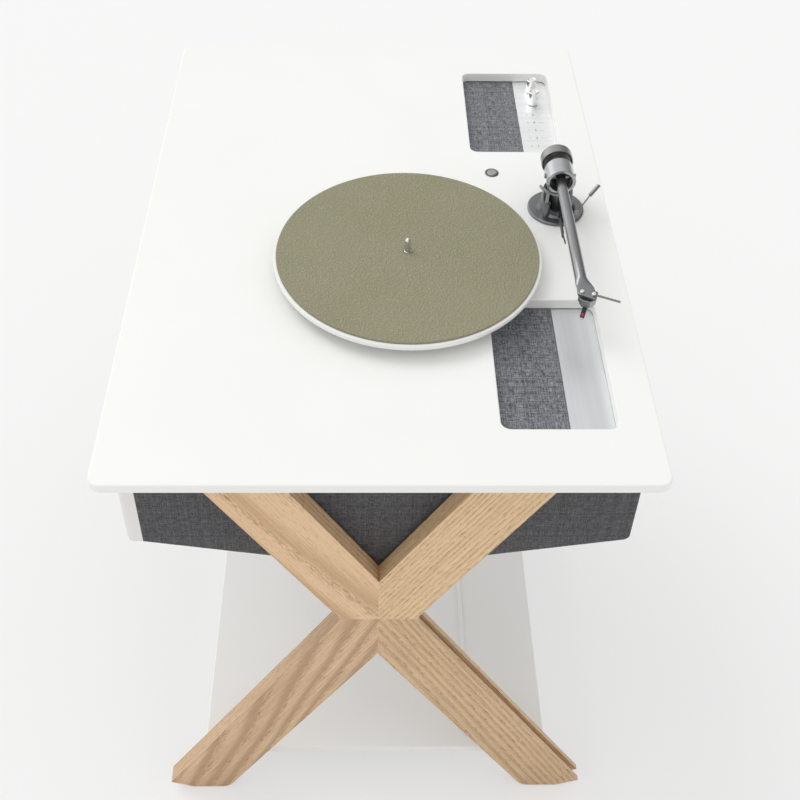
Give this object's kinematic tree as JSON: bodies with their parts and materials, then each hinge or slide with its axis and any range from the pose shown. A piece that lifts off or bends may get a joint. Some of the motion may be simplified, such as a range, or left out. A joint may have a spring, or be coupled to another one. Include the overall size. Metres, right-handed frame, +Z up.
{
  "type": "record player with speakers",
  "caption": "Coffee-table record player: white slab with platter, tonearm and knobs over a cloth-covered speaker body, on crossed oak legs with a record shelf.",
  "frame": {"origin": "on the floor under the middle of the table", "axes": "+X to the side with the tonearm and windows, +Y along the table away from the end with the deck, +Z up"},
  "size_m": [0.56, 0.81, 0.78],
  "materials": {
    "white_surface": "matt warm white solid surface, faint fine sanding",
    "oak": "light oak, open pores, clear matt oil",
    "black_board": "black stained fibreboard",
    "hardwood": "bare beech dowels and loose tenons",
    "charcoal_cloth": "heather charcoal speaker cloth, plain weave",
    "felt": "grey wool felt",
    "brushed_plate": "anodised aluminium, long fine brushing",
    "knob_metal": "polished with fine turning",
    "steel": "turned bright steel",
    "bolt_steel": "zinc plated steel",
    "mat_leather": "olive pebbled leather",
    "arm_grey": "anthracite satin paint on cast metal",
    "ring_silver": "satin anodised silver grey",
    "black_plastic": "moulded black",
    "red_plastic": "moulded red holder with a clear tip",
    "belt_rubber": "ground flat belt",
    "cone_paper": "black pressed paper",
    "magnet": "grey ferrite between zinc plates",
    "circuit": "green circuit board with its parts",
    "brass": "turned brass",
    "light_guide": "clear acrylic light guide"
  },
  "bodies": {
    "table": {"amplifier_board": "circuit", "arm_base": "arm_grey", "arm_rest": "black_plastic", "bearing_housing": "brass", "button_bezel": "steel", "cabinet_lid": "black_board", "cabinet_shell": "black_board", "control_plate": "brushed_plate", "control_pots": "black_plastic", "drive_belt": "belt_rubber", "foot_pads": "felt", "front_cloth_panel": "charcoal_cloth", "front_left_lower_leg": "oak", "front_left_upper_leg": "oak", "front_right_lower_leg": "oak", "front_right_upper_leg": "oak", "front_window_cloth": "charcoal_cloth", "front_window_plate": "brushed_plate", "indicator_lights": "light_guide", "leg_bolts": "bolt_steel", "leg_spacers": "black_plastic", "leg_tenons": "hardwood", "line_sockets": "black_plastic", "motor": "steel", "power_inlet": "black_plastic", "rear_cloth_panel": "charcoal_cloth", "rear_left_lower_leg": "oak", "rear_left_upper_leg": "oak", "rear_right_lower_leg": "oak", "rear_right_upper_leg": "oak", "rear_window_cloth": "charcoal_cloth", "shelf": "white_surface", "shelf_dowels": "hardwood", "shelf_rail": "white_surface", "side_cloth_wrap": "charcoal_cloth", "side_cover": "white_surface", "speaker_baskets": "black_plastic", "speaker_cones": "cone_paper", "speaker_magnets": "magnet", "table_top": "white_surface", "woofer_basket": "black_plastic", "woofer_cone": "cone_paper"},
    "turntable": {"platter": "white_surface", "platter_mat": "mat_leather", "spindle": "steel", "sub_platter": "black_plastic"},
    "motor_shaft": {"motor_pulley": "brass"},
    "volume": {"volume_knob": "knob_metal"},
    "source": {"source_knob": "knob_metal"},
    "button": {"start_button": "knob_metal"},
    "arm_swivel": {"arm_gimbal": "ring_silver", "gimbal_screws": "steel"},
    "arm": {"arm_tube": "arm_grey", "cartridge": "arm_grey", "stylus": "red_plastic", "headshell_bolts": "steel", "finger_lift": "arm_grey"},
    "arm_weight": {"counterweight": "arm_grey"},
    "lift": {"lift_bar": "arm_grey"},
    "lever": {"cue_lever": "steel"}
  },
  "joints": [
    {"name": "platter_spin", "type": "hinge", "parent": "table", "child": "turntable", "pos_m": [0.032, -0.084, 0.7235], "axis": [0, 0, 1], "continuous": true},
    {"name": "pulley_spin", "type": "hinge", "parent": "table", "child": "motor_shaft", "pos_m": [-0.044, -0.04, 0.715], "axis": [0, 0, 1], "continuous": true},
    {"name": "volume_turn", "type": "hinge", "parent": "table", "child": "volume", "pos_m": [0.2155, 0.276, 0.7], "axis": [0, 0, 1], "range_deg": [-150, 150]},
    {"name": "source_turn", "type": "hinge", "parent": "table", "child": "source", "pos_m": [0.2155, 0.307, 0.7], "axis": [0, 0, 1], "range_deg": [-60, 60]},
    {"name": "button_press", "type": "slide", "parent": "table", "child": "button", "axis": [0, 0, -1], "range_m": [0, 0.002], "stiffness_N_per_m": 300, "springref_m": -0.001},
    {"name": "arm_swing", "type": "hinge", "parent": "table", "child": "arm_swivel", "pos_m": [0.2155, 0.022, 0.73], "axis": [0, 0, 1], "range_deg": [-47, 0]},
    {"name": "arm_tilt", "type": "hinge", "parent": "arm_swivel", "child": "arm", "pos_m": [0.2155, 0.022, 0.761], "axis": [-1, 0, 0], "range_deg": [-1.4, 8]},
    {"name": "weight_turn", "type": "hinge", "parent": "arm", "child": "arm_weight", "pos_m": [0.2155, 0.054, 0.761], "axis": [0, 1, 0], "range_deg": [-180, 180]},
    {"name": "lever_turn", "type": "hinge", "parent": "table", "child": "lever", "pos_m": [0.2335, -0.004, 0.726], "axis": [1, 0, 0], "range_deg": [0, 85]},
    {"name": "lift_rise", "type": "slide", "parent": "table", "child": "lift", "axis": [0, 0, 1], "range_m": [0, 0.0015]}
  ],
  "couplings": [
    {"joint": "pulley_spin", "follows": "platter_spin", "ratio": 8},
    {"joint": "lever_turn", "follows": "lift_rise", "rad_per_m": 989}
  ]
}
